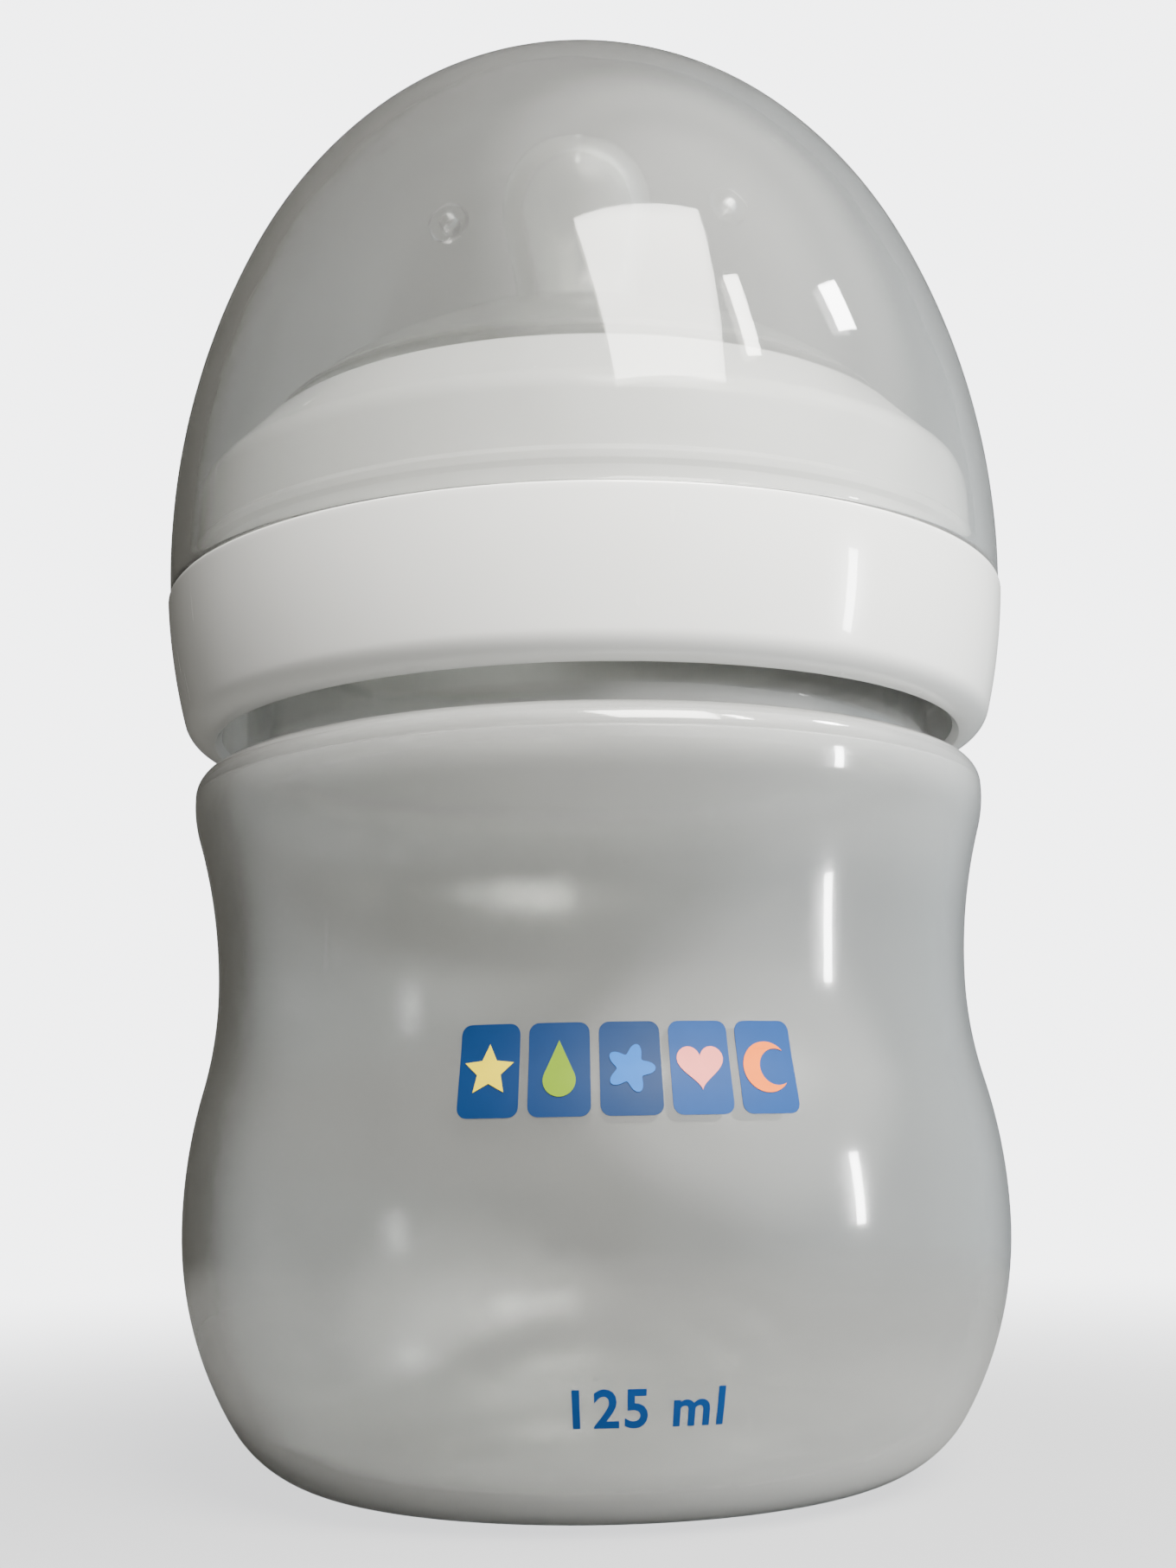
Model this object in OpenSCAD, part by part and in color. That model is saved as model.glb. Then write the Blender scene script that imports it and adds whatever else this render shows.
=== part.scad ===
// Small wide-neck feeding bottle: waisted body, silicone teat, screw ring and dome cap.
// Millimetres, +Z up. The origin is the middle of the base, and the printed front faces -Y.

/* [Body] */
// Largest radius of the lower bulge
bulge_r = 32.8; // [32.4:0.1:33.2]
// Height of that largest radius
bulge_z = 19.5; // [19:0.5:20.5]
// Smallest radius, at the waist
waist_r = 30.3; // [29.8:0.1:30.8]
// Height of the waist
waist_z = 38; // [37.5:0.5:39]
// Largest radius of the shoulder
shoulder_r = 32.4; // [32:0.1:32.8]
// Height of that largest radius
shoulder_z = 53; // [52.5:0.5:53.5]
// Height of the flat ledge where the neck starts
ledge_z = 55.5; // [55.4:0.1:55.8]
// Wall of the body, floor and neck ledge
body_wall = 1.8; // [1.4:0.1:1.9]
// Radius of the rounded edge round the base
base_round = 10; // [9:0.5:11]
// Height of the shallow hollow under the base
push_up = 1.4; // [1:0.1:2]
// Radius of that hollow
push_up_r = 16; // [14:0.5:18]

/* [Neck and thread] */
// Outer radius of the neck
neck_r = 28.4; // [28.3:0.1:28.5]
// Height of the neck's rim
rim_z = 77; // [76.8:0.1:77]
// Wall of the neck
neck_wall = 2; // [1.8:0.1:2]
// Rise of the thread in one turn
pitch = 5; // [4.8:0.1:5.4]
// Turns of thread on the neck and in the ring
turns = 1.25; // [1:0.05:1.35]
// Height of the thread above its wall
thread_h = 1.5; // [1.3:0.1:1.5]
// Gap between a thread's crest and the facing wall
thread_gap = 0.5; // [0.5:0.1:0.6]
// Height at which the neck's thread starts
thread_z = 65; // [64.5:0.5:65.5]

/* [Screw ring] */
// Largest outer radius of the ring
ring_r = 35; // [34.9:0.1:35.3]
// Height of the ring's lower edge
ring_z = 58.1; // [58:0.1:58.5]
// Height of the step that the cap stands on
step_z = 69.8; // [69.7:0.1:70]
// Radius of the upright collar inside the cap
collar_r = 32.6; // [32.4:0.1:32.6]
// Height of the collar's top edge
collar_z = 83.2; // [83:0.1:83.3]
// Angle above the horizontal that the sloping collar faces
collar_slope = 42; // [40:1:44]
// Radius of the opening for the teat
opening_r = 26.6; // [26.5:0.1:26.8]
// Wall of the sloping collar
collar_wall = 2; // [1.8:0.1:2.1]

/* [Teat] */
// Thickness of the flange that seals on the rim
flange_t = 1.8; // [1.6:0.1:1.8]
// Outer radius of the flange
flange_r = 28.2; // [28:0.1:28.2]
// Wall of the teat
teat_wall = 1.7; // [1.5:0.1:1.8]
// Radius of the broad soft dome
dome_arc = 39; // [38:0.5:40]
// Height at which that dome would peak
dome_z = 95.5; // [95.4:0.1:95.8]
// Radius of the narrow foot of the nipple
nipple_foot_r = 5.45; // [5.4:0.05:5.6]
// Radius of the nipple's round tip
nipple_r = 6.75; // [6.6:0.05:6.8]
// Height of the tip
tip_z = 114.2; // [113.6:0.1:114.6]
// Radius of the feeding hole
feed_r = 0.4; // [0.3:0.05:0.6]

/* [Dome cap] */
// Largest outer radius of the cap
cap_r = 34.8; // [34.8:0.05:34.9]
// Height of that largest radius
cap_z = 73; // [72.5:0.5:73.5]
// Wall of the cap
cap_wall = 1.5; // [1.3:0.1:1.5]
// Radius of the side curve
side_arc = 61.4; // [60:0.2:63]
// Radius of the curve between the side and the crown
mid_arc = 40.2; // [39.6:0.2:40.8]
// Tilt of the two vent holes from the vertical
vent_tilt = 36; // [32:1:40]
// Radius of a vent hole
vent_r = 0.95; // [0.7:0.05:1.1]

/* [Hidden] */
$fn = 96;
chamfer = 0.4;
flange_play = 0.35;
seat_gap = 0.05;

// Body: centres of the tangent curves that make the outline, from the base to the ledge
low_arc = 28.4;
up_arc = 40;
shoulder_arc = 10.4;
edge_round = 2;
low_c = [bulge_r - low_arc, bulge_z];
base_c = [low_c.x + sqrt(pow(low_arc - base_round, 2) - pow(base_round - bulge_z, 2)), base_round];
base_a = atan2(base_c.y - low_c.y, base_c.x - low_c.x);
up_c = [bulge_r - up_arc, bulge_z];
dip_arc = span(bulge_r - waist_r, waist_z - bulge_z) - up_arc;
dip_c = [waist_r + dip_arc, waist_z];
up_a = atan2(dip_c.y - up_c.y, dip_c.x - up_c.x);
rise_arc = span(shoulder_r - waist_r, shoulder_z - waist_z) - shoulder_arc;
rise_c = [waist_r + rise_arc, waist_z];
shoulder_c = [shoulder_r - shoulder_arc, shoulder_z];
shoulder_a = atan2(rise_c.y - shoulder_c.y, rise_c.x - shoulder_c.x);
edge_cz = ledge_z - edge_round;
edge_c = [shoulder_c.x + sqrt(pow(shoulder_arc - edge_round, 2) - pow(edge_cz - shoulder_z, 2)), edge_cz];
edge_a = atan2(edge_c.y - shoulder_c.y, edge_c.x - shoulder_c.x);
push_arc = (pow(push_up_r, 2) + pow(push_up, 2)) / (2 * push_up);
push_c = [0, push_up - push_arc];
push_a = asin(push_up_r / push_arc);
neck_in = neck_r - neck_wall;

// Thread
thread_root = 1.8;
thread_crest = 0.9;
thread_sunk = 0.4;
steps_per_turn = 40;
ramp = 5;
bore_r = neck_r + thread_h + thread_gap;

// Screw ring
ring_arc = 52.3;
ring_c = [ring_r - ring_arc, 72.8];
ring_round = 2.4;
bore_lead = [0.5, 0.6];
ring_foot_cz = ring_z + ring_round;
ring_foot_c = [ring_c.x + sqrt(pow(ring_arc - ring_round, 2) - pow(ring_foot_cz - ring_c.y, 2)),
               ring_foot_cz];
ring_foot_a = atan2(ring_foot_c.y - ring_c.y, ring_foot_c.x - ring_c.x);
step_a = asin((step_z - ring_c.y) / ring_arc);
lip_round = 1;
lip_c = [opening_r + lip_round, collar_z - lip_round];
collar_round = 3;
slope_n = [cos(collar_slope), sin(collar_slope)];
slope_d = slope_n * lip_c + lip_round;
collar_c = [collar_r - collar_round,
            (slope_d - collar_round - slope_n.x * (collar_r - collar_round)) / slope_n.y];
lip_z = rim_z + seat_gap + flange_t + flange_play;
snap_z = 71.6;
snap_h = 1.4;
snap_t = 0.25;

// Teat
stem_gap = 0.4;
stem_r = opening_r - stem_gap;
stem_in = stem_r - teat_wall - 0.1;
stem_lead = 0.8;
flange_z = rim_z + seat_gap;
dome_c = [0, dome_z - dome_arc];
bead = 0.8;
bead_a = 47;
bead_c = dome_c + (dome_arc - bead) * [cos(bead_a), sin(bead_a)];
foot_round = 5;
foot_c = [nipple_foot_r + foot_round,
          dome_c.y + sqrt(pow(dome_arc + foot_round, 2) - pow(nipple_foot_r + foot_round, 2))];
foot_a = atan2(foot_c.y - dome_c.y, foot_c.x);
nipple_taper = 10;
tip_c = [0, tip_z - nipple_r];
dome_in_a = acos(stem_in / (dome_arc - teat_wall));
valve_at = 24.8;
valve_r = 1.2;
valve_l = 2.4;
valve_tip_r = 0.84;
valve_bore = 0.45;
groove_d = 0.5;

// Dome cap
cap_rim_gap = 0.1;
cap_rim_z = step_z + cap_rim_gap;
side_c = [cap_r - side_arc, cap_z];
rim_a = asin((cap_rim_z - cap_z) / side_arc);
side_a = 25;
mid_c = side_c + (side_arc - mid_arc) * [cos(side_a), sin(side_a)];
mid_a = 44;
crown_arc = mid_arc + mid_c.x / cos(mid_a);
crown_c = [0, mid_c.y - mid_c.x * tan(mid_a)];
vent_rim_r = 2.2;
vent_rim_top_r = 1.9;
vent_rim_h = 0.5;
vents = [-133, 122];

// Sum of two radii whose curves are tangent and whose extremes lie d apart across and h apart in height
function span(d, h) = (d * d + h * h) / (2 * d);

// Points of an arc about c, from angle a to angle b, one every 4 degrees or closer
function arc(c, r, a, b) =
    let (n = max(2, ceil(abs(b - a) / 4)))
    [for (i = [0:n]) c + r * [cos(a + (b - a) * i / n), sin(a + (b - a) * i / n)]];

// Body outline from the foot to the ledge, moved inwards by t
function body_side(t) = concat(
    arc(base_c, base_round - t, -90, base_a),
    arc(low_c, low_arc - t, base_a, 0),
    arc(up_c, up_arc - t, 0, up_a),
    arc(dip_c, dip_arc + t, 180 + up_a, 180),
    arc(rise_c, rise_arc + t, 180, 180 + shoulder_a),
    arc(shoulder_c, shoulder_arc - t, shoulder_a, edge_a),
    arc(edge_c, max(edge_round - t, 0.1), edge_a, 90)
);

// Base from the axis to the edge of its hollow, moved inwards by t
function base_hollow(t) = arc(push_c, push_arc + t, 90, 90 - push_a);

// Cap outline from the rim to the crown, moved inwards by t
function cap_side(t) = concat(
    arc(side_c, side_arc - t, rim_a, side_a),
    arc(mid_c, mid_arc - t, side_a, mid_a),
    arc(crown_c, crown_arc - t, mid_a, 90)
);

// Nipple and dome from the tip down to angle a on the dome, moved inwards by t
function teat_side(t, a) = concat(
    arc(tip_c, nipple_r - t, 90, -nipple_taper),
    arc(foot_c, foot_round + t, 180 - nipple_taper, 180 + foot_a),
    arc(dome_c, dome_arc - t, foot_a, a)
);

function reversed(list) = [for (i = [len(list) - 1:-1:0]) list[i]];

// Thread section: root just inside its wall, crest at the height share k; a negative h points inwards
function thread_section(wall_r, h, k) =
    let (
        sunk = wall_r - sign(h) * thread_sunk,
        crest = wall_r + k * h,
        low = [[sunk, -thread_root / 2], [crest, -thread_crest / 2]],
        high = [[crest, thread_crest / 2], [sunk, thread_root / 2]]
    )
    h > 0 ? concat(low, high) : concat(reversed(low), reversed(high));

// Right-handed helical thread that fades in and out at its ends
module thread(wall_r, h, z) {
    n = round(steps_per_turn * turns);
    points = [
        for (i = [0:n])
            let (a = 360 * turns * i / n, k = min(1, i / ramp, (n - i) / ramp))
            for (p = thread_section(wall_r, h, k))
                [p.x * cos(a), p.x * sin(a), p.y + z + pitch * turns * i / n]
    ];
    sides = [
        for (i = [0:n - 1])
            for (j = [0:3])
                [4 * i + j, 4 * i + (j + 1) % 4, 4 * i + 4 + (j + 1) % 4, 4 * i + 4 + j]
    ];
    ends = [[3, 2, 1, 0], [4 * n, 4 * n + 1, 4 * n + 2, 4 * n + 3]];
    polyhedron(points = points, faces = concat(sides, ends));
}

// Blow-moulded body with its neck and thread
module bottle_body() {
    color([0.80, 0.82, 0.82, 0.55]) {
        rotate_extrude()
            polygon(concat(
                base_hollow(0),
                body_side(0),
                [[neck_r, ledge_z], [neck_r, rim_z - chamfer], [neck_r - chamfer, rim_z]],
                [[neck_in + chamfer, rim_z], [neck_in, rim_z - chamfer], [neck_in, ledge_z - body_wall]],
                reversed(body_side(body_wall)),
                reversed(base_hollow(body_wall))
            ));
        thread(neck_r, thread_h, thread_z);
    }
}

// Duck-bill valve under the flange, fed by a groove across the flange's seat
module valve_body() {
    translate([valve_at, 0, flange_z - valve_l])
        cylinder(r1 = valve_tip_r, r2 = valve_r, h = valve_l + 0.2);
}

module valve_passage() {
    translate([valve_at, 0, flange_z - valve_l - 1])
        cylinder(r = valve_bore, h = valve_l + 1.2, $fn = 24);
    translate([valve_at, -valve_bore, flange_z - 1])
        cube([flange_r - valve_at + 1, 2 * valve_bore, groove_d + 1]);
}

// Hollow silicone teat with its sealing flange, feeding hole and two vent valves
module teat() {
    color([0.86, 0.87, 0.85, 0.6])
        difference() {
            union() {
                rotate_extrude()
                    polygon(concat(
                        teat_side(0, bead_a),
                        arc(bead_c, bead, bead_a, -90),
                        [[stem_r, bead_c.y - bead - chamfer], [stem_r, flange_z + flange_t]],
                        [[flange_r - chamfer, flange_z + flange_t]],
                        [[flange_r, flange_z + flange_t - chamfer]],
                        [[flange_r, flange_z], [stem_in - stem_lead, flange_z]],
                        [[stem_in - stem_lead, flange_z + 1], [stem_in, flange_z + flange_t]],
                        reversed(teat_side(teat_wall, dome_in_a))
                    ));
                for (side = [0, 180])
                    rotate([0, 0, side])
                        valve_body();
            }
            translate([0, 0, tip_z - 2 * teat_wall])
                cylinder(r = feed_r, h = 4 * teat_wall, $fn = 24);
            for (side = [0, 180])
                rotate([0, 0, side])
                    valve_passage();
        }
}

// Opaque screw ring: lower skirt, step for the cap, collar, lip over the flange and inner thread
module screw_ring() {
    color([0.95, 0.95, 0.95]) {
        rotate_extrude()
            polygon(concat(
                [[bore_r, ring_z + bore_lead.y], [bore_r + bore_lead.x, ring_z]],
                arc(ring_foot_c, ring_round, -90, ring_foot_a),
                arc(ring_c, ring_arc, ring_foot_a, step_a),
                [[collar_r, step_z], [collar_r, snap_z], [collar_r + snap_t, snap_z + chamfer]],
                [[collar_r + snap_t, snap_z + snap_h - chamfer], [collar_r, snap_z + snap_h]],
                arc(collar_c, collar_round, 0, collar_slope),
                arc(lip_c, lip_round, collar_slope, 180),
                [[opening_r, lip_z], [(slope_d - collar_wall - slope_n.y * lip_z) / slope_n.x, lip_z]],
                [[bore_r, (slope_d - collar_wall - slope_n.x * bore_r) / slope_n.y]]
            ));
        thread(bore_r, -thread_h, thread_z - pitch / 2);
    }
}

// Places its children on the cap's crown at a vent, this far below the outer surface
module at_vent(turn, depth) {
    translate([0, 0, crown_c.y])
        rotate([vent_tilt, 0, turn])
            translate([0, 0, crown_arc - depth])
                children();
}

// Frosted dome cap with two raised vent holes
module dome_cap() {
    color([0.72, 0.76, 0.76, 0.5])
        difference() {
            union() {
                rotate_extrude()
                    polygon(concat(
                        cap_side(0),
                        reversed(cap_side(cap_wall))
                    ));
                for (turn = vents)
                    at_vent(turn, cap_wall / 2)
                        cylinder(r1 = vent_rim_r, r2 = vent_rim_top_r, h = cap_wall / 2 + vent_rim_h);
            }
            for (turn = vents)
                at_vent(turn, 2 * cap_wall)
                    cylinder(r = vent_r, h = 4 * cap_wall, $fn = 48);
        }
}

bottle_body();
teat();
screw_ring();
dome_cap();
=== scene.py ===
import math

import bmesh
import bpy
from mathutils import Matrix, Vector
from mathutils.geometry import tessellate_polygon


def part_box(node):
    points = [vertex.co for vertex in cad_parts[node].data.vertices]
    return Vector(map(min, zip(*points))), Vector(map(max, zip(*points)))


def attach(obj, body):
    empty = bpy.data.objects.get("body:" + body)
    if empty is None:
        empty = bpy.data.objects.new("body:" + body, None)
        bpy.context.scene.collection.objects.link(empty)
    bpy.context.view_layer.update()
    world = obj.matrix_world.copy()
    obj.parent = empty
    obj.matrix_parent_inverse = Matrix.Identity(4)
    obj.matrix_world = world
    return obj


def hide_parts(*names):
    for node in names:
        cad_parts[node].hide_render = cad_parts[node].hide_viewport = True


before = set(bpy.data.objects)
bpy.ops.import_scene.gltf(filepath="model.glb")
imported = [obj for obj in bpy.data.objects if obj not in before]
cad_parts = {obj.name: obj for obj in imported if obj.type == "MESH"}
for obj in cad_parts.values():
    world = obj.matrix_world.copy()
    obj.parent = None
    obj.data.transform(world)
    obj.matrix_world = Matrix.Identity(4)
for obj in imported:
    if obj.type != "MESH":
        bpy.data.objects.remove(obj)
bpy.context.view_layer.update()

MM = 0.001
AROUND = 192  # steps round a turned piece

# Lowest and highest corners of pieces in the frame, in millimetres
RING_LOW, RING_HIGH = (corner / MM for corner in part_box("screw_ring"))
TEAT_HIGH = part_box("teat")[1] / MM
CAP_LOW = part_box("dome_cap")[0] / MM
BODY_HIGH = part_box("bottle_body")[1] / MM


# ---------------------------------------------------------------- outlines

def arc(center, radius, start, end, step=2.0):
    """Points of an arc about center, from start to end in degrees."""
    count = max(2, math.ceil(abs(end - start) / step))
    turn = [math.radians(start + (end - start) * i / count) for i in range(count + 1)]
    return [(center[0] + radius * math.cos(a), center[1] + radius * math.sin(a)) for a in turn]


def line(start, end, step=1.0):
    """Points of a straight stretch, both ends included."""
    count = max(1, math.ceil(math.dist(start, end) / step))
    return [tuple(s + (e - s) * i / count for s, e in zip(start, end)) for i in range(count + 1)]


def span(across, along):
    """Sum of two radii whose curves are tangent and whose extremes lie this far apart."""
    return (across * across + along * along) / (2 * across)


def heading(start, end):
    """Direction from start to end in degrees."""
    return math.degrees(math.atan2(end[1] - start[1], end[0] - start[0]))


def inner_center(center, radius, small, height):
    """Centre, at that height, of a small circle that touches a bigger one from inside."""
    return (center[0] + math.sqrt((radius - small) ** 2 - (height - center[1]) ** 2), height)


def rounded(points, radius):
    """The outline with every corner sharper than 25 degrees turned into a small arc."""
    made = [points[0]]
    steps = 5
    for before, here, after in zip(points, points[1:], points[2:]):
        back, ahead = Vector(before) - Vector(here), Vector(after) - Vector(here)
        if back.length < 1e-6 or ahead.length < 1e-6:
            continue
        bend = math.pi - back.angle(ahead)
        if bend < math.radians(25):
            made.append(here)
            continue
        cut = min(radius * math.tan(bend / 2), 0.45 * back.length, 0.45 * ahead.length)
        first, last = Vector(here) + back.normalized() * cut, Vector(here) + ahead.normalized() * cut
        for i in range(steps + 1):
            t = i / steps
            middle = (1 - t) ** 2 * first + 2 * t * (1 - t) * Vector(here) + t * t * last
            made.append(tuple(middle))
    return made + [points[-1]]


# ---------------------------------------------------------------- meshes

def add_object(name, mesh, material, body):
    """Links a mesh as a piece that rides on a body."""
    piece = bpy.data.objects.new(name, mesh)
    bpy.context.scene.collection.objects.link(piece)
    mesh.materials.append(material)
    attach(piece, body)
    return piece


def smooth(mesh, angle=35):
    """Smooth shading that keeps edges sharper than this many degrees."""
    mesh.shade_smooth()
    mesh.set_sharp_from_angle(angle=math.radians(angle))


def lathe_mesh(name, outline, closed=False, bump=None, around=AROUND):
    """Turns an outline in millimetres about Z. bump(angle, r, z) gives an offset of the radius."""
    mesh = bmesh.new()
    rings = []
    for r, z in outline:
        if r < 1e-5:
            rings.append([mesh.verts.new((0, 0, z * MM))])
            continue
        ring = []
        for i in range(around):
            a = 2 * math.pi * i / around
            radius = (r + (bump(a, r, z) if bump else 0)) * MM
            ring.append(mesh.verts.new((radius * math.cos(a), radius * math.sin(a), z * MM)))
        rings.append(ring)
    pairs = list(zip(rings, rings[1:])) + ([(rings[-1], rings[0])] if closed else [])
    for low, high in pairs:
        for i in range(around):
            j = (i + 1) % around
            corners = [low[i % len(low)], low[j % len(low)], high[j % len(high)], high[i % len(high)]]
            corners = list(dict.fromkeys(corners))
            if len(corners) > 2:
                mesh.faces.new(corners)
    bmesh.ops.recalc_face_normals(mesh, faces=mesh.faces)
    made = bpy.data.meshes.new(name)
    mesh.to_mesh(made)
    mesh.free()
    return made


def peg(name, radius, low, high, along=Matrix.Identity(4)):
    """A round tool for cut_with, from one height to another, then moved by a matrix."""
    mesh = lathe_mesh(name, [(0, low), (radius, low), (radius, high), (0, high)], around=48)
    mesh.transform(along)
    tool = bpy.data.objects.new(name, mesh)
    bpy.context.scene.collection.objects.link(tool)
    return tool


def cut_with(piece, tools, operation):
    """Adds or subtracts tool meshes for good, and removes the tools."""
    for tool in tools:
        step = piece.modifiers.new("cut", "BOOLEAN")
        step.operation = operation
        step.object = tool
        step.solver = "EXACT"
    bpy.context.view_layer.update()
    shape = bpy.data.meshes.new_from_object(piece.evaluated_get(bpy.context.evaluated_depsgraph_get()))
    piece.modifiers.clear()
    piece.data = shape
    for tool in tools:
        bpy.data.objects.remove(tool)


# ---------------------------------------------------------------- materials

def shader(name):
    """A node material, and its Principled shader."""
    material = bpy.data.materials.new(name)
    material.use_nodes = True
    return material, material.node_tree.nodes["Principled BSDF"]


def add(tree, kind, **values):
    """A new node with these properties."""
    node = tree.nodes.new(kind)
    for key, value in values.items():
        setattr(node, key, value)
    return node


def place(tree):
    """The object's own coordinates."""
    return add(tree, "ShaderNodeTexCoord").outputs["Object"]


def noise(tree, scale, detail=3.0, stretch=(1, 1, 1)):
    """Noise over the object's own coordinates, in waves per metre."""
    spread = add(tree, "ShaderNodeMapping")
    spread.inputs["Scale"].default_value = stretch
    tree.links.new(place(tree), spread.inputs["Vector"])
    made = add(tree, "ShaderNodeTexNoise")
    made.inputs["Scale"].default_value = scale
    made.inputs["Detail"].default_value = detail
    tree.links.new(spread.outputs["Vector"], made.inputs["Vector"])
    return made.outputs["Fac"]


def between(tree, value, low, high):
    """Maps 0..1 to low..high."""
    mapped = add(tree, "ShaderNodeMapRange")
    mapped.inputs["To Min"].default_value = low
    mapped.inputs["To Max"].default_value = high
    tree.links.new(value, mapped.inputs["Value"])
    return mapped.outputs["Result"]


def tint(tree, value, dark, light):
    """Maps 0..1 to a colour between two colours."""
    ramp = add(tree, "ShaderNodeValToRGB")
    ramp.color_ramp.elements[0].color = (*dark, 1)
    ramp.color_ramp.elements[1].color = (*light, 1)
    tree.links.new(value, ramp.inputs["Fac"])
    return ramp.outputs["Color"]


def bumped(tree, bsdf, height, strength, distance):
    """Puts a height on the shader's normal."""
    made = add(tree, "ShaderNodeBump")
    made.inputs["Strength"].default_value = strength
    made.inputs["Distance"].default_value = distance
    tree.links.new(height, made.inputs["Height"])
    tree.links.new(made.outputs["Normal"], bsdf.inputs["Normal"])


def by_height(tree, stops):
    """A value that follows the height in millimetres, smoothly from stop to stop."""
    split = add(tree, "ShaderNodeSeparateXYZ")
    tree.links.new(place(tree), split.inputs["Vector"])
    low, high = stops[0][0], stops[-1][0]
    share = add(tree, "ShaderNodeMapRange")
    share.inputs["From Min"].default_value = low * MM
    share.inputs["From Max"].default_value = high * MM
    tree.links.new(split.outputs["Z"], share.inputs["Value"])
    ramp = add(tree, "ShaderNodeValToRGB")
    ramp.color_ramp.interpolation = "EASE"
    for height, value in stops[1:-1]:
        ramp.color_ramp.elements.new((height - low) / (high - low)).color = (value, value, value, 1)
    for end in (0, -1):
        ramp.color_ramp.elements[end].color = (*[stops[end][1]] * 3, 1)
    tree.links.new(share.outputs["Result"], ramp.inputs["Fac"])
    return ramp.outputs["Color"]


def scuffs(tree, stretch):
    """Sparse fine rubs along one direction: 0 on clean plastic, up to 1 in a rub."""
    rub_starts, rub_full = 0.66, 0.80
    keep = add(tree, "ShaderNodeMapRange")
    keep.inputs["From Min"].default_value = rub_starts
    keep.inputs["From Max"].default_value = rub_full
    tree.links.new(noise(tree, 900, 2, stretch), keep.inputs["Value"])
    return keep.outputs["Result"]


def plastic(name, dark, light, through, rough, coat, wave, ior=1.49):
    """Moulded plastic: how much light goes through, how rough it is, and how strong its gloss is."""
    scuff_rough, coat_rough, wave_height = 0.12, 0.03, 0.0004
    material, bsdf = shader(name)
    tree = material.node_tree
    tree.links.new(tint(tree, noise(tree, 60), dark, light), bsdf.inputs["Base Color"])
    worn = add(tree, "ShaderNodeMath", operation="MULTIPLY_ADD")
    worn.inputs[1].default_value = scuff_rough
    tree.links.new(scuffs(tree, (1, 1, 0.08)), worn.inputs[0])
    tree.links.new(between(tree, noise(tree, 240, 4), *rough), worn.inputs[2])
    tree.links.new(worn.outputs["Value"], bsdf.inputs["Roughness"])
    bsdf.inputs["Transmission Weight"].default_value = through
    bsdf.inputs["IOR"].default_value = ior
    bsdf.inputs["Coat Weight"].default_value = coat
    bsdf.inputs["Coat Roughness"].default_value = coat_rough
    bumped(tree, bsdf, noise(tree, 90, 2), wave, wave_height)
    return material


def white_plastic():
    """The ring's plastic, with painted light on its collar: a little whiter above the step, under the
    cap, to make up for light that the cap holds back.
    """
    dark, light = (0.84, 0.84, 0.83), (0.89, 0.89, 0.88)
    material = plastic("white_plastic", dark, light, 0.0, (0.16, 0.24), 0.5, 0.10)
    tree = material.node_tree
    bsdf = tree.nodes["Principled BSDF"]
    worn = bsdf.inputs["Base Color"].links[0].from_socket
    # Painted light: from the step upwards the collar gets a whiter colour, standing in for light that
    # reaches it through the cap.
    mix = add(tree, "ShaderNodeMix", data_type="RGBA")
    tree.links.new(by_height(tree, ((69, 0), (70, 1), (75, 1))), mix.inputs["Factor"])
    tree.links.new(worn, mix.inputs["A"])
    mix.inputs["B"].default_value = (0.96, 0.96, 0.95, 1)
    tree.links.new(mix.outputs["Result"], bsdf.inputs["Base Color"])
    return material


def milky_plastic():
    """The body's plastic, which is cloudier where it is thick: at the foot and the shoulder."""
    foot, belly, shoulder, neck = (0, 0.62), (13, 0.95), (55, 0.72), (58, 0.96)
    dark, light = (0.91, 0.92, 0.91), (0.96, 0.96, 0.95)
    material = plastic("milky_plastic", dark, light, 0.92, (0.10, 0.16), 1.0, 0.12)
    tree = material.node_tree
    clear = by_height(tree, (
        foot, (6, 0.86), belly, (42, 0.95), (50, 0.88), shoulder, neck, (77, 0.96)))
    tree.links.new(clear, tree.nodes["Principled BSDF"].inputs["Transmission Weight"])
    return material


def ink(name, colour):
    """Printed ink: flat colour with a faint mottle and a soft gloss."""
    material, bsdf = shader(name)
    tree = material.node_tree
    dark = tuple(0.86 * c for c in colour)
    tree.links.new(tint(tree, noise(tree, 900, 4), dark, colour), bsdf.inputs["Base Color"])
    tree.links.new(between(tree, noise(tree, 500), 0.45, 0.55), bsdf.inputs["Roughness"])
    bsdf.inputs["Specular IOR Level"].default_value = 0.2
    return material


def pale_surface(name, colour):
    """A dull plain surface with a faint mottle."""
    material, bsdf = shader(name)
    tree = material.node_tree
    dark = tuple(0.97 * c for c in colour)
    tree.links.new(tint(tree, noise(tree, 20), dark, colour), bsdf.inputs["Base Color"])
    bsdf.inputs["Roughness"].default_value = 0.8
    return material


MILKY = milky_plastic()
FROSTED = plastic(
    "frosted_plastic", (0.95, 0.96, 0.95), (0.99, 0.99, 0.98), 0.955, (0.02, 0.05), 0.0, 0.10)
WHITE = white_plastic()
SILICONE = plastic(
    "silicone", (0.90, 0.91, 0.88), (0.95, 0.96, 0.93), 0.935, (0.13, 0.20), 0.0, 0.15, 1.41)


# ---------------------------------------------------------------- bottle body

WALL = 1.8
NECK_R = 28.4
NECK_WALL = 2.0
LEDGE_Z = 55.5  # where the shoulder ends and the neck begins
PITCH = 5.0
TURNS = 1.25
THREAD_H = 1.5  # how far the thread stands out
THREAD_Z = 65.0  # where it starts
THREAD_ROOT = 1.8  # its height at the wall
THREAD_CREST = 0.9  # its height at the crest
THREAD_STEP = 0.16  # rows of a threaded wall
BORE_R = NECK_R + THREAD_H + 0.5  # the ring's bore, clear of the thread
FLANGE_T = 1.8  # thickness of the teat's flange
SEAT_GAP = 0.05  # room under the flange


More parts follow.
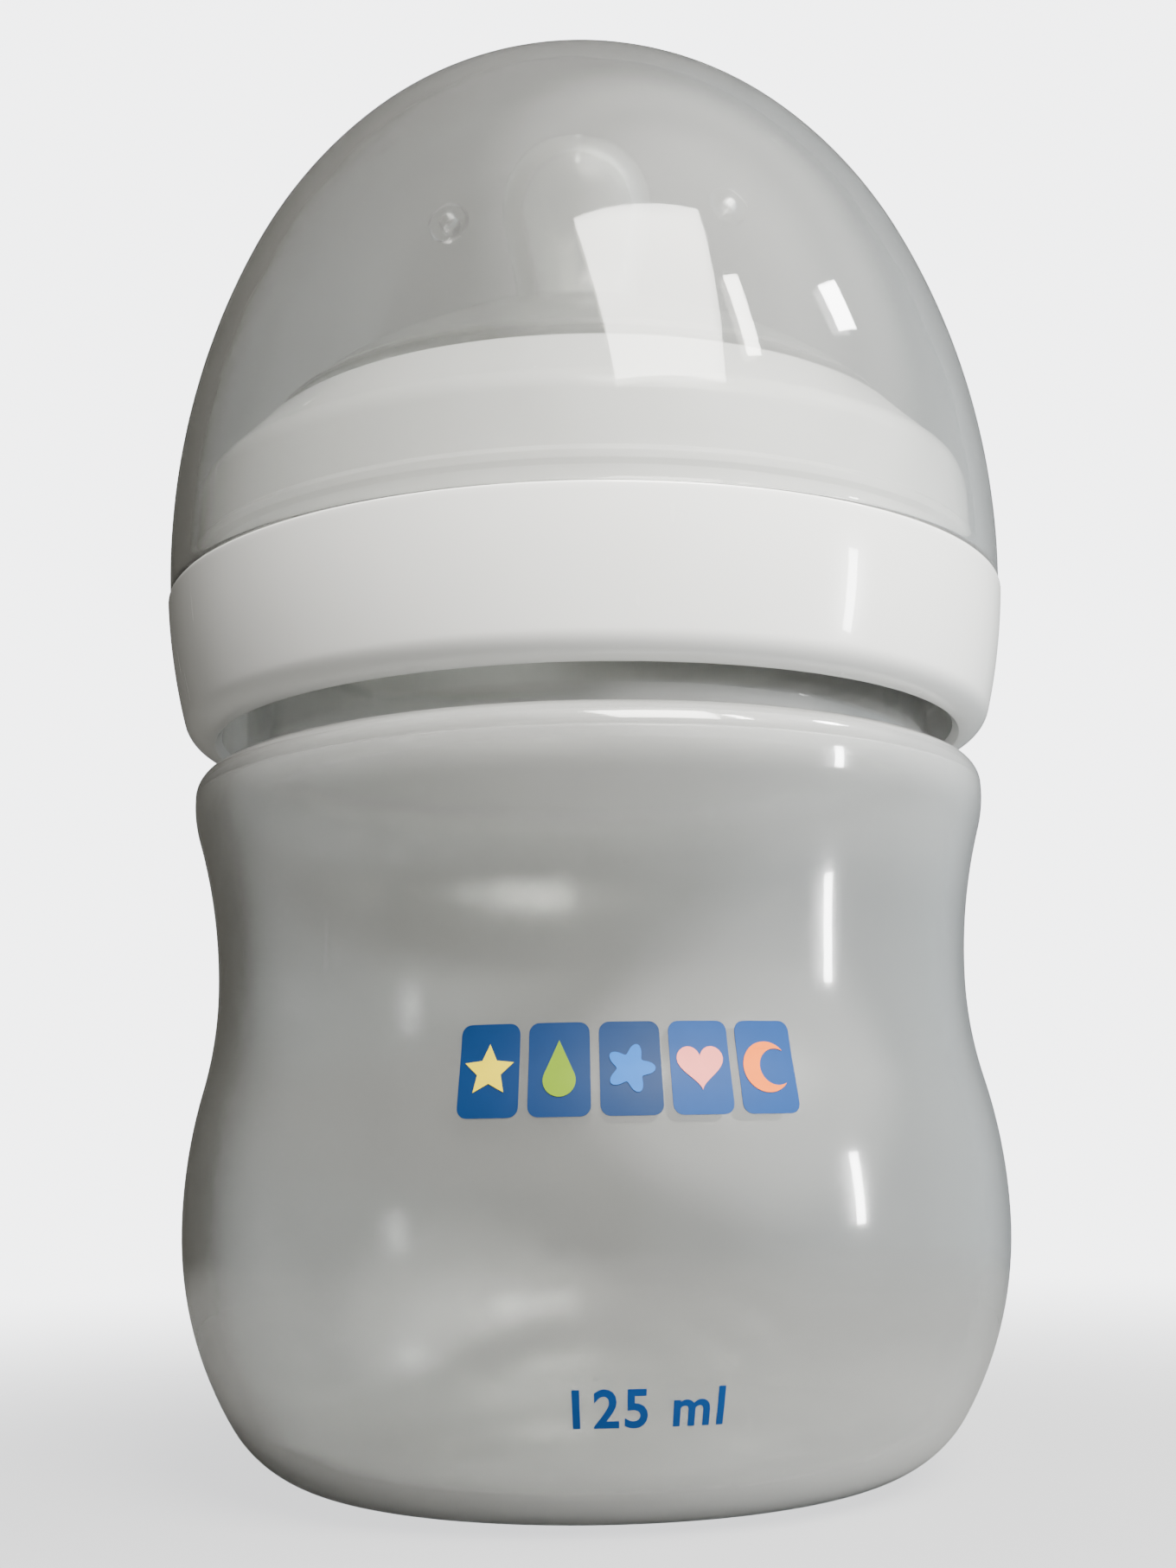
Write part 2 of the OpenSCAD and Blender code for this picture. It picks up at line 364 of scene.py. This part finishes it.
def body_side(inset):
    """The body's outline from its foot to the neck's ledge, moved inwards."""
    bulge, low_arc, up_arc = (32.8, 19.5), 28.4, 40.0
    waist, shoulder, shoulder_arc = (30.3, 38.0), (32.4, 53.0), 10.4
    base_round, edge_round = 10.0, 2.0
    low = (bulge[0] - low_arc, bulge[1])
    base = inner_center(low, low_arc, base_round, base_round)
    up = (bulge[0] - up_arc, bulge[1])
    dip_arc = span(bulge[0] - waist[0], waist[1] - bulge[1]) - up_arc
    dip = (waist[0] + dip_arc, waist[1])
    rise_arc = span(shoulder[0] - waist[0], shoulder[1] - waist[1]) - shoulder_arc
    rise = (waist[0] + rise_arc, waist[1])
    top = (shoulder[0] - shoulder_arc, shoulder[1])
    edge = inner_center(top, shoulder_arc, edge_round, LEDGE_Z - edge_round)
    base_a, up_a = heading(low, base), heading(up, dip)
    top_a, edge_a = heading(top, rise), heading(top, edge)
    return (
        arc(base, base_round - inset, -90, base_a)
        + arc(low, low_arc - inset, base_a, 0)[1:]
        + arc(up, up_arc - inset, 0, up_a, 1)[1:]
        + arc(dip, dip_arc + inset, 180 + up_a, 180, 1)[1:]
        + arc(rise, rise_arc + inset, 180, 180 + top_a, 1)[1:]
        + arc(top, shoulder_arc - inset, top_a, edge_a)[1:]
        + arc(edge, max(edge_round - inset, 0.1), edge_a, 90, 6)[1:]
    )


def base_hollow(inset):
    """The base from its middle to the edge of its hollow, moved inwards."""
    reach, rise = 16.0, 1.4
    radius = span(rise, reach)
    start = 90 - math.degrees(math.asin(reach / radius))
    return [(max(r, 0.0), z) for r, z in arc((0, rise - radius), radius + inset, 90, start, 0.8)]


def thread_bump(wall_r, height, start_z):
    """Offset of the radius that raises a thread on a wall; a negative height points inwards."""
    fade = 0.12  # share of a turn over which each end runs out

    def offset(angle, r, z):
        """How far the thread stands out at this angle and height."""
        if abs(r - wall_r) > 0.01:
            return 0.0
        best = 0.0
        for turn in range(math.ceil(TURNS) + 1):
            along = angle / (2 * math.pi) + turn
            if not 0 <= along <= TURNS:
                continue
            away = abs(z - start_z - PITCH * along)
            side = (THREAD_ROOT / 2 - away) / (THREAD_ROOT / 2 - THREAD_CREST / 2)
            share = min(1.0, max(0.0, side)) * min(1.0, along / fade, (TURNS - along) / fade)
            best = max(best, share)
        ease = best * best * (3 - 2 * best)
        return height * ease

    return offset


def body_outline():
    """The body's closed wall: outside, neck, lip and inside."""
    neck_in = NECK_R - NECK_WALL
    rim = BODY_HIGH.z
    outside = rounded(base_hollow(0) + body_side(0) + [(NECK_R, LEDGE_Z), (NECK_R, LEDGE_Z + 2)], 0.5)
    neck = line((NECK_R, LEDGE_Z + 2.2), (NECK_R, rim - 1), THREAD_STEP)
    lip = rounded([(NECK_R, rim - 0.9), (NECK_R, rim), (neck_in, rim), (neck_in, rim - 1)], 0.6)
    inner = rounded([(neck_in, LEDGE_Z)] + (body_side(WALL) + [(neck_in, LEDGE_Z - WALL)])[::-1], 0.6)
    return outside + neck + lip + inner[:-1] + base_hollow(WALL)[::-1]


def make_body():
    """The blow-moulded body in one skin, with the thread raised out of its neck."""
    bump = thread_bump(NECK_R, THREAD_H, THREAD_Z)
    mesh = lathe_mesh("body", body_outline(), bump=bump)
    smooth(mesh)
    piece = add_object("body_shell", mesh, MILKY, "bottle")
    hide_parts("bottle_body")
    return piece


# ---------------------------------------------------------------- prints on the body

PRINT_TURN = 4.5  # degrees that the prints stand to the right of the front
INKS = (
    ("blue", (0.0, 0.04, 0.17)),
    ("deep_blue", (0.0, 0.022, 0.09)),
    ("sky", (0.0, 0.11, 0.42)),
    ("green", (0.14, 0.24, 0.0)),
    ("yellow", (0.66, 0.52, 0.0)),
    ("pink", (0.80, 0.22, 0.19)),
    ("orange", (0.78, 0.15, 0.0)),
)


def body_radius(z, inset=0):
    """Radius of the body's wall at a height, moved inwards by inset."""
    side = body_side(inset)
    for (r0, z0), (r1, z1) in zip(side, side[1:]):
        if z0 <= z <= z1 and z1 > z0:
            return r0 + (r1 - r0) * (z - z0) / (z1 - z0)
    return side[0][0] if z < side[0][1] else side[-1][0]


def tile(cx, width, height, radius):
    """Rounded rectangle about (cx, 0)."""
    right, top = width / 2 - radius, height / 2 - radius
    made = []
    for x, y, start in ((right, top, 0), (-right, top, 90), (-right, -top, 180), (right, -top, 270)):
        made += arc((cx + x, y), radius, start, start + 90, 15)
    return made


def star(cx, size):
    """Five points, with notches at about half of their reach."""
    turn = [math.radians(90 + 36 * i) for i in range(10)]
    reach = [size if i % 2 == 0 else 0.48 * size for i in range(10)]
    return [(cx + r * math.cos(a), r * math.sin(a)) for a, r in zip(turn, reach)]


def drop(cx, size):
    """A round drop with its point at the top."""
    round_part = arc((cx, -0.4 * size), 0.62 * size, -205, 25, 10)
    return round_part + [(cx, 1.1 * size)]


def heart(cx, size):
    """The usual heart curve, scaled to this half width."""
    turn = [2 * math.pi * i / 40 for i in range(40)]
    across = [16 * math.sin(a) ** 3 for a in turn]
    up = [13 * math.cos(a) - 5 * math.cos(2 * a) - 2 * math.cos(3 * a) - math.cos(4 * a) for a in turn]
    return [(cx + size * x / 16, size * (y + 2) / 16) for x, y in zip(across, up)]


def moon(cx, size):
    """A crescent that opens to the right."""
    outer = arc((cx, 0), size, 40, 320, 10)
    inner = arc((cx + 0.42 * size, 0), 0.72 * size, 298, 62, 10)
    return outer + inner


def flower(cx, size):
    """Five soft petals."""
    turn = [2 * math.pi * i / 60 for i in range(60)]
    reach = [size * (0.78 + 0.22 * math.cos(5 * a)) for a in turn]
    return [(cx + r * math.cos(a), r * math.sin(a)) for a, r in zip(turn, reach)]


def filled(outline):
    """Flat mesh of one closed outline, in millimetres."""
    shape = bmesh.new()
    corners = [shape.verts.new((x, y, 0)) for x, y in outline]
    for face in tessellate_polygon([[Vector((x, y, 0)) for x, y in outline]]):
        shape.faces.new([corners[i] for i in face])
    return shape


def lettering(words, height):
    """Flat mesh of a line of plain lettering with digits this tall, centred on its middle."""
    digit_share, fatten, spread = 0.69, 0.03, 1.12
    text = bpy.data.curves.new("lettering", "FONT")
    text.body = words
    text.align_x, text.align_y = "CENTER", "CENTER"
    text.size = height / digit_share
    text.offset = fatten * height
    text.space_character = spread
    text.resolution_u = 4
    holder = bpy.data.objects.new("lettering", text)
    bpy.context.scene.collection.objects.link(holder)
    shape = bmesh.new()
    flat = bpy.data.meshes.new_from_object(holder.evaluated_get(bpy.context.evaluated_depsgraph_get()))
    shape.from_mesh(flat)
    bpy.data.objects.remove(holder)
    return shape


def printed(name, shape, colour, turn, height, lift=0.01, thick=0.035):
    """Wraps a flat mesh round the body at an azimuth from the front and a height, as a thin layer."""
    longest, most_rounds = 0.9, 6
    bmesh.ops.remove_doubles(shape, verts=shape.verts, dist=1e-5)
    for _ in range(most_rounds):
        bmesh.ops.triangulate(shape, faces=shape.faces)
        long_edges = [e for e in shape.edges if e.calc_length() > longest]
        if not long_edges:
            break
        bmesh.ops.subdivide_edges(shape, edges=long_edges, cuts=1)
    bmesh.ops.triangulate(shape, faces=shape.faces)
    flat = list(shape.verts)
    grown = bmesh.ops.extrude_face_region(shape, geom=list(shape.faces))["geom"]
    raised = {v for v in grown if isinstance(v, bmesh.types.BMVert)}
    middle = body_radius(height)
    for v in flat + list(raised):
        z = height + v.co.y
        r = body_radius(z) + lift + (thick if v in raised else 0)
        a = math.radians(turn) + v.co.x / middle
        v.co = (r * math.sin(a) * MM, -r * math.cos(a) * MM, z * MM)
    bmesh.ops.recalc_face_normals(shape, faces=shape.faces)
    mesh = bpy.data.meshes.new(name)
    shape.to_mesh(mesh)
    shape.free()
    smooth(mesh)
    return add_object(name, mesh, colour, "bottle")


def make_prints():
    """Row of picture tiles and the nominal volume, on the front."""
    inks = {name: ink("ink_" + name, colour) for name, colour in INKS}
    width, gap, tall, corner, row_z = 4.1, 0.6, 6.2, 0.7, 30.4
    label_turn, label_z, label_height = 5.5, 8.7, 2.4
    pictures = (
        ("star", star, 1.75, "yellow", "deep_blue"),
        ("drop", drop, 1.75, "green", "deep_blue"),
        ("flower", flower, 1.65, "sky", "deep_blue"),
        ("heart", heart, 1.6, "pink", "blue"),
        ("moon", moon, 1.7, "orange", "blue"),
    )
    for i, (name, picture, size, colour, ground) in enumerate(pictures):
        x = (i - 2) * (width + gap)
        ground_shape = filled(tile(x, width, tall, corner))
        printed("tile_" + name, ground_shape, inks[ground], PRINT_TURN, row_z)
        printed("picture_" + name, filled(picture(x, size)), inks[colour], PRINT_TURN, row_z, lift=0.05)
    printed("volume_label", lettering("125 ml", label_height), inks["blue"], label_turn, label_z)


def fill_height(millilitres):
    """Height that this much milk reaches in the body, by adding up thin slices."""
    z, held, slice_z, ml = 2 * WALL, 0.0, 0.1, 1000
    while held < ml * millilitres:
        held += math.pi * body_radius(z, WALL) ** 2 * slice_z
        z += slice_z
    return z


def make_scale():
    """Moulded scale on the back: a tick every 10 ml, with a number at every third."""
    middle_z, left, long_tick, short_tick, half = 30.0, -8.0, 7.0, 3.6, 0.2
    digits, digits_x = 2.6, 3.0
    scale = bmesh.new()
    for volume in range(10, 130, 10):
        numbered = volume % 30 == 0
        right = left + (long_tick if numbered else short_tick)
        rise = fill_height(volume) - middle_z
        low, high = rise - half, rise + half
        parts = [filled([(left, low), (right, low), (right, high), (left, high)])]
        if numbered:
            parts.append(lettering(str(volume), digits))
            bmesh.ops.translate(parts[-1], verts=parts[-1].verts, vec=(digits_x, rise, 0))
        for part in parts:
            flat = bpy.data.meshes.new("part")
            part.to_mesh(flat)
            scale.from_mesh(flat)
            part.free()
    printed("moulded_scale", scale, MILKY, 180, middle_z, lift=-0.05, thick=0.25)


# ---------------------------------------------------------------- screw ring

def ring_outline():
    """The ring's closed wall: skirt, step, collar, lip and threaded bore."""
    low, high = RING_LOW.z, RING_HIGH.z
    bore, opening, collar = BORE_R, 26.6, 32.6
    step_z = CAP_LOW.z - 0.1
    widest, side_arc, foot_round = (35.0, 72.8), 52.3, 2.4
    side = (widest[0] - side_arc, widest[1])
    foot = inner_center(side, side_arc, foot_round, low + foot_round)
    step_a = math.degrees(math.asin((step_z - side[1]) / side_arc))
    slope, lip_round, collar_round, wall = 42, 1.0, 3.0, 2.0
    normal = Vector((math.cos(math.radians(slope)), math.sin(math.radians(slope))))
    lip = (opening + lip_round, high - lip_round)
    reach = normal.dot(lip) + lip_round
    shoulder_r = collar - collar_round
    shoulder = (shoulder_r, (reach - collar_round - normal.x * shoulder_r) / normal.y)
    lip_z = BODY_HIGH.z + SEAT_GAP + FLANGE_T + 0.35
    cone_r = (reach - wall - normal.y * lip_z) / normal.x
    cone_z = (reach - wall - normal.x * bore) / normal.y
    skirt = [(bore, low + 0.6), (bore + 0.5, low)] + arc(foot, foot_round, -90, heading(side, foot), 5)
    face = arc(side, side_arc, heading(side, foot), step_a, 0.5)[1:]
    bead = collar + 0.25
    collar_wall = [(collar, step_z), (collar, 71.6), (bead, 72.0), (bead, 72.6), (collar, 73.0)]
    top = arc(shoulder, collar_round, 0, slope, 3) + arc(lip, lip_round, slope, 180, 6)
    inside = [(opening, lip_z), (cone_r, lip_z), (bore, cone_z), (bore, cone_z - 1)]
    threaded = line((bore, cone_z - 1.2), (bore, low + 1.4), THREAD_STEP)
    return rounded(skirt + face + collar_wall + top + inside, 0.22) + threaded


def make_ring():
    """The opaque ring in one skin, with the thread raised out of its bore."""
    bump = thread_bump(BORE_R, -THREAD_H, THREAD_Z - PITCH / 2)
    mesh = lathe_mesh("ring", ring_outline(), closed=True, bump=bump)
    smooth(mesh)
    piece = add_object("ring_shell", mesh, WHITE, "ring")
    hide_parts("screw_ring")
    return piece


# ---------------------------------------------------------------- teat

TEAT_WALL = 1.7
DOME_ARC = 39.0
DOME = (0, 56.5)  # centre of the dome's arc


def teat_side(inset, last):
    """Nipple and dome from the tip down to an angle on the dome, moved inwards."""
    tip_r, foot_r, foot_round, taper = 6.75, 5.45, 5.0, 10
    tip = (0, TEAT_HIGH.z - tip_r)
    foot_x = foot_r + foot_round
    foot = (foot_x, DOME[1] + math.sqrt((DOME_ARC + foot_round) ** 2 - foot_x ** 2))
    foot_a = heading(DOME, foot)
    nipple = arc(tip, tip_r - inset, 90, -taper, 4)
    return (
        [(max(r, 0.0), z) for r, z in nipple]
        + arc(foot, foot_round + inset, 180 - taper, 180 + foot_a, 4)
        + arc(DOME, DOME_ARC - inset, foot_a, last, 1)[1:]
    )


def teat_outline():
    """The teat's closed wall: nipple, dome, bead, stem, flange and inside."""
    bead, bead_a, stem = 0.8, 47, 26.2
    flange_r, flange_z = TEAT_HIGH.x, BODY_HIGH.z + SEAT_GAP
    flange_top = flange_z + FLANGE_T
    stem_in = stem - TEAT_WALL - 0.1
    turn = math.radians(bead_a)
    reach = DOME_ARC - bead
    bead_c = (reach * math.cos(turn), DOME[1] + reach * math.sin(turn))
    last = math.degrees(math.acos(stem_in / (DOME_ARC - TEAT_WALL)))
    outside = teat_side(0, bead_a) + arc(bead_c, bead, bead_a, -90, 8)[1:]
    stem_line = [(stem, bead_c[1] - bead - 0.4), (stem, flange_top)]
    flange = [(flange_r, flange_top), (flange_r, flange_z), (stem_in - 0.8, flange_z)]
    inside = [(stem_in, flange_top)] + teat_side(TEAT_WALL, last)[::-1]
    return rounded(outside + stem_line + flange + inside, 0.35)


def make_teat():
    """Hollow teat with its feeding hole and its two duck-bill vent valves."""
    hole_r = 0.4
    mesh = lathe_mesh("teat", teat_outline(), around=144)
    piece = add_object("teat_skin", mesh, SILICONE, "teat")
    hole = peg("feeding_hole", hole_r, TEAT_HIGH.z - 3, TEAT_HIGH.z + 1)
    cut_with(piece, [hole], "DIFFERENCE")
    smooth(piece.data)
    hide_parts("teat")
    for side, turn in (("right", 0), ("left", math.pi)):
        make_valve("valve_" + side, turn)
    return piece


def make_valve(name, turn):
    """Soft duck-bill under the flange, flattened to a slit at its lower end."""
    top, radius, bill, reach, flatten = BODY_HIGH.z + 0.1, 1.2, 2.2, 24.8, 0.6
    tip = top - bill - 0.2
    outline = [(0, tip), (0.35, tip), (0.8, top - bill), (radius, top - 0.6), (radius, top), (0, top)]
    mesh = lathe_mesh(name, rounded(outline, 0.2), around=40)
    for v in mesh.vertices:
        depth = min(1.0, (top * MM - v.co.z) / (bill * MM))
        v.co.y *= 1 - flatten * depth
    mesh.transform(Matrix.Rotation(turn, 4, "Z") @ Matrix.Translation((reach * MM, 0, 0)))
    smooth(mesh)
    return add_object(name, mesh, SILICONE, "teat")


# ---------------------------------------------------------------- dome cap

CAP_WALL = 1.5


def cap_side(inset):
    """The cap's outline from rim to crown, moved inwards, and the crown's centre and radius."""
    widest, side_arc, mid_arc, side_a, mid_a = (34.8, 73.0), 61.4, 40.2, 25, 44
    side = (widest[0] - side_arc, widest[1])
    turn = math.radians(side_a)
    mid = tuple(s + (side_arc - mid_arc) * w for s, w in zip(side, (math.cos(turn), math.sin(turn))))
    crown_arc = mid_arc + mid[0] / math.cos(math.radians(mid_a))
    crown = (0, mid[1] - mid[0] * math.tan(math.radians(mid_a)))
    rim_a = math.degrees(math.asin((CAP_LOW.z - side[1]) / side_arc))
    outline = (
        arc(side, side_arc - inset, rim_a, side_a, 1)
        + arc(mid, mid_arc - inset, side_a, mid_a, 1.5)[1:]
        + arc(crown, crown_arc - inset, mid_a, 90, 2)[1:]
    )
    return [(max(r, 0.0), z) for r, z in outline], crown, crown_arc


def make_cap():
    """The frosted dome with its two raised vent holes."""
    vent_tilt, vent_turns = 36, (-133, 122)
    vent_r, vent_rise, vent_hole_r = 2.2, 0.5, 0.95
    outer, crown, crown_arc = cap_side(0)
    inner = cap_side(CAP_WALL)[0]
    rim = rounded([inner[1], inner[0], outer[0], outer[1]], 0.35)[1:-1]
    mesh = lathe_mesh("cap", inner[:0:-1] + rim + outer[1:])
    piece = add_object("cap_shell", mesh, FROSTED, "cap")
    aims = [
        Matrix.Translation((0, 0, crown[1] * MM))
        @ Matrix.Rotation(math.radians(turn), 4, "Z")
        @ Matrix.Rotation(math.radians(vent_tilt), 4, "X")
        for turn in vent_turns
    ]
    rims = []
    for i, aim in enumerate(aims):
        low, top = crown_arc - 0.7, crown_arc + vent_rise
        outline = [(0, low), (vent_r, low), (vent_r - 0.1, top), (0.5, top), (0, top)]
        mesh = lathe_mesh(f"vent_rim_{i}", rounded(outline, 0.35), around=64)
        mesh.transform(aim)
        rims.append(bpy.data.objects.new(f"vent_rim_{i}", mesh))
        bpy.context.scene.collection.objects.link(rims[-1])
    cut_with(piece, rims, "UNION")
    holes = [
        peg(f"vent_hole_{i}", vent_hole_r, crown_arc - 4, crown_arc + 3, aim)
        for i, aim in enumerate(aims)
    ]
    cut_with(piece, holes, "DIFFERENCE")
    smooth(piece.data)
    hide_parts("dome_cap")
    return piece


# ---------------------------------------------------------------- stage

MIDDLE_Z = 0.07  # metres


def floor_material():
    """Pale floor that fades away round the bottle, so that no edge of it shows."""
    near, far, least_clear = 0.03, 0.24, 0.28
    material = pale_surface("pale_floor", (0.16, 0.16, 0.157))
    tree = material.node_tree
    reach = add(tree, "ShaderNodeVectorMath", operation="LENGTH")
    tree.links.new(place(tree), reach.inputs[0])
    fade = add(tree, "ShaderNodeMapRange", interpolation_type="SMOOTHSTEP")
    fade.inputs["From Min"].default_value = near
    fade.inputs["From Max"].default_value = far
    fade.inputs["To Min"].default_value = least_clear
    tree.links.new(reach.outputs["Value"], fade.inputs["Value"])
    mix = add(tree, "ShaderNodeMixShader")
    tree.links.new(fade.outputs["Result"], mix.inputs["Fac"])
    tree.links.new(tree.nodes["Principled BSDF"].outputs["BSDF"], mix.inputs[1])
    tree.links.new(add(tree, "ShaderNodeBsdfTransparent").outputs["BSDF"], mix.inputs[2])
    tree.links.new(mix.outputs["Shader"], tree.nodes["Material Output"].inputs["Surface"])
    return material


def graded(tree, value, stops):
    """A colour ramp over a coordinate that runs from -1 to 1."""
    whole = add(tree, "ShaderNodeMapRange")
    whole.inputs["From Min"].default_value = -1
    tree.links.new(value, whole.inputs["Value"])
    ramp = add(tree, "ShaderNodeValToRGB")
    ramp.color_ramp.interpolation = "EASE"
    for at, colour in stops[1:-1]:
        ramp.color_ramp.elements.new((at + 1) / 2).color = (*colour, 1)
    for end, (at, colour) in ((0, stops[0]), (-1, stops[-1])):
        ramp.color_ramp.elements[end].position = (at + 1) / 2
        ramp.color_ramp.elements[end].color = (*colour, 1)
    tree.links.new(whole.outputs["Result"], ramp.inputs["Fac"])
    return ramp.outputs["Color"]


def make_world():
    """A backdrop that is nearly white to look at; as a light it is a room, shaded on the left."""
    shade, window_way, backdrop_power = (0.102, 0.098, 0.086), (0.50, -0.43, 0.75), 5.0
    world = bpy.data.worlds.new("studio")
    world.use_nodes = True
    tree = world.node_tree
    outwards = add(tree, "ShaderNodeTexCoord").outputs["Generated"]
    split = add(tree, "ShaderNodeSeparateXYZ")
    tree.links.new(outwards, split.inputs["Vector"])
    walls = graded(tree, split.outputs["X"], (
        (-1.0, (0.38, 0.38, 0.37)), (-0.82, shade), (-0.45, shade),
        (0.0, (0.20, 0.20, 0.19)), (0.4, (0.36, 0.39, 0.40)), (1.0, (0.95, 1.05, 1.10))))
    towards = add(tree, "ShaderNodeVectorMath", operation="DOT_PRODUCT")
    tree.links.new(outwards, towards.inputs[0])
    towards.inputs[1].default_value = window_way
    ceiling = graded(tree, towards.outputs["Value"], (
        (0.58, (0.0, 0.0, 0.0)), (0.82, (1.7, 1.68, 1.6)), (0.98, (4.2, 4.15, 3.95))))
    both = add(tree, "ShaderNodeMix", data_type="RGBA", blend_type="ADD")
    both.inputs["Factor"].default_value = 1
    tree.links.new(walls, both.inputs["A"])
    tree.links.new(ceiling, both.inputs["B"])
    room = tree.nodes["Background"]
    tree.links.new(both.outputs["Result"], room.inputs["Color"])
    backdrop = add(tree, "ShaderNodeBackground")
    backdrop.inputs["Color"].default_value = (0.97, 0.98, 1.0, 1)
    backdrop.inputs["Strength"].default_value = backdrop_power
    mix = add(tree, "ShaderNodeMixShader")
    tree.links.new(add(tree, "ShaderNodeLightPath").outputs["Is Camera Ray"], mix.inputs["Fac"])
    tree.links.new(room.outputs["Background"], mix.inputs[1])
    tree.links.new(backdrop.outputs["Background"], mix.inputs[2])
    tree.links.new(mix.outputs["Shader"], tree.nodes["World Output"].inputs["Surface"])
    bpy.context.scene.world = world


def make_floor():
    """A flat floor, a metre each way."""
    half_side = 0.5
    floor = bpy.data.meshes.new("floor")
    shape = bmesh.new()
    bmesh.ops.create_grid(shape, x_segments=1, y_segments=1, size=half_side)
    shape.to_mesh(floor)
    shape.free()
    ground = bpy.data.objects.new("floor", floor)
    floor.materials.append(floor_material())
    bpy.context.scene.collection.objects.link(ground)


def soft_box(name, place_at, aim, size, power, colour=(1, 1, 1)):
    """A rectangular area light aimed at a point, in metres and watts."""
    light = bpy.data.lights.new(name, "AREA")
    light.shape = "RECTANGLE"
    light.size, light.size_y = size
    light.energy = power
    light.color = colour
    lamp = bpy.data.objects.new(name, light)
    bpy.context.scene.collection.objects.link(lamp)
    lamp.location = place_at
    lamp.rotation_euler = (Vector(aim) - Vector(place_at)).to_track_quat("-Z", "Y").to_euler()
    return lamp


def around_bottle(azimuth, elevation, distance):
    """A place at that direction from the bottle's middle; azimuth 0 is the front and 90 the right."""
    a, e = math.radians(azimuth), math.radians(elevation)
    flat = distance * math.cos(e)
    return (flat * math.sin(a), -flat * math.cos(a), MIDDLE_Z + distance * math.sin(e))


def make_lights():
    """A large soft window high in front, and three small lights to its right."""
    middle, away, warm = (0, 0, MIDDLE_Z), 0.8, (1.0, 0.98, 0.92)
    soft_box("key_window", around_bottle(24, 45.5, away), middle, (0.38, 0.44), 22, warm)
    soft_box("key_side", around_bottle(49, 40, away), middle, (0.05, 0.18), 2.4, warm)
    soft_box("right_window", around_bottle(85, 40, away), middle, (0.09, 0.09), 3)
    soft_box("right_strip", around_bottle(71, 0, 0.6), middle, (0.03, 0.13), 1.3)


def make_camera():
    """Close view from low in front, tilted up and rolled a little."""
    back, high = 157.7 * MM, 25.6 * MM
    pitch, roll, field = math.radians(10.69), math.radians(-1.07), math.radians(44.81)
    nearest = 5 * MM
    lens = bpy.data.cameras.new("camera")
    lens.sensor_fit = "VERTICAL"
    lens.angle = field
    lens.clip_start = nearest
    camera = bpy.data.objects.new("camera", lens)
    bpy.context.scene.collection.objects.link(camera)
    camera.matrix_world = (
        Matrix.Translation((0, -back, high))
        @ Matrix.Rotation(math.pi / 2 + pitch, 4, "X")
        @ Matrix.Rotation(roll, 4, "Z")
    )
    bpy.context.scene.camera = camera


make_camera()
make_body()
make_prints()
make_scale()
make_ring()
make_teat()
make_cap()
make_world()
make_floor()
make_lights()
